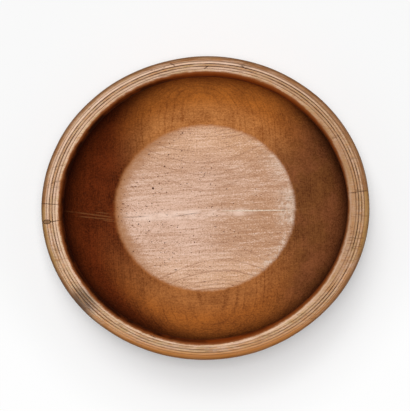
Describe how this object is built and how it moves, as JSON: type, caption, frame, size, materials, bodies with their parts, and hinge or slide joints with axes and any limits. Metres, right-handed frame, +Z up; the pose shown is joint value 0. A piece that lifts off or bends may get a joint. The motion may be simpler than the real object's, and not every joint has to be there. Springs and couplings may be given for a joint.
{
  "type": "dough bowl",
  "caption": "Broad shallow bowl turned from solid wood, dried slightly oval, with a rolled rim cut with fine rings, a flat worn floor, a low foot and a filled drying check.",
  "frame": {"origin": "centre of the base, on the surface that the bowl stands on", "axes": "+X along the grain, which is the bowl's long way, +Y across the grain, +Z up out of the mouth"},
  "size_m": [0.42, 0.388, 0.12],
  "materials": {
    "turned_wood": "old turned wood: dark oiled wall, pale scrubbed floor, pale worn rim, fine grain along the long side",
    "check_filler": "pale matt wood-dust filler, scraped flush with the wood"
  },
  "bodies": {
    "root": {"bowl": "turned_wood", "floor_check_filler": "check_filler", "rim_check_filler": "check_filler"}
  },
  "joints": []
}
